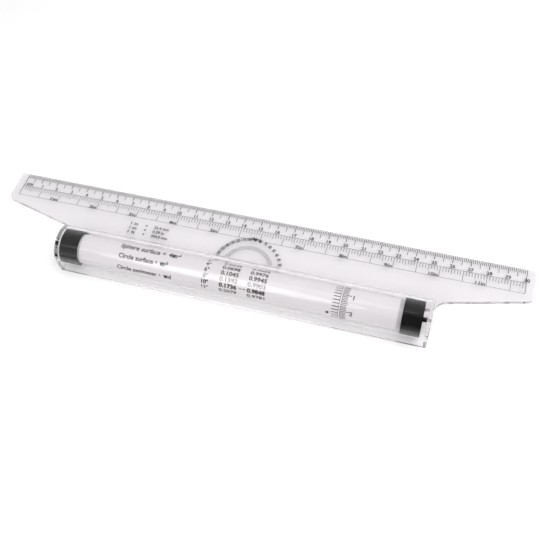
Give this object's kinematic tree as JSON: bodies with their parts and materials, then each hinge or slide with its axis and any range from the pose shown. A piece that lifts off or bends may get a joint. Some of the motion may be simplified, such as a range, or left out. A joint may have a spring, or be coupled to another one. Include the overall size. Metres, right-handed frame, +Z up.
{
  "type": "rolling ruler",
  "caption": "Clear straight ruler with a bevelled scale edge and, along its front, an arched housing that holds a long free-turning roller with rubber tyres, for drawing parallel lines.",
  "frame": {"origin": "middle of the whole object's footprint, at the height of the paper that the tyres stand on", "axes": "+X along the scale edge towards its 30 end, +Y across the blade from the roller to the scale edge, +Z up from the paper"},
  "size_m": [0.3096, 0.0582, 0.0211],
  "materials": {
    "clear_plastic": "clear, polished",
    "white_plastic": "satin, slightly translucent",
    "printed_label": "smooth film with black print",
    "black_rubber": "matte",
    "black_plastic": "satin",
    "print_ink": "black printed marks"
  },
  "bodies": {
    "ruler": {"ruler_body": "clear_plastic"},
    "roller": {"roller_tube": "white_plastic", "roller_label": "printed_label", "left_tyre": "black_rubber", "right_tyre": "black_rubber", "left_end_plug": "black_plastic", "right_end_plug": "black_plastic"}
  },
  "joints": [
    {"name": "roller_spin", "type": "hinge", "parent": "ruler", "child": "roller", "pos_m": [-0.0011, -0.0176, 0.00955], "axis": [1, 0, 0], "continuous": true}
  ]
}
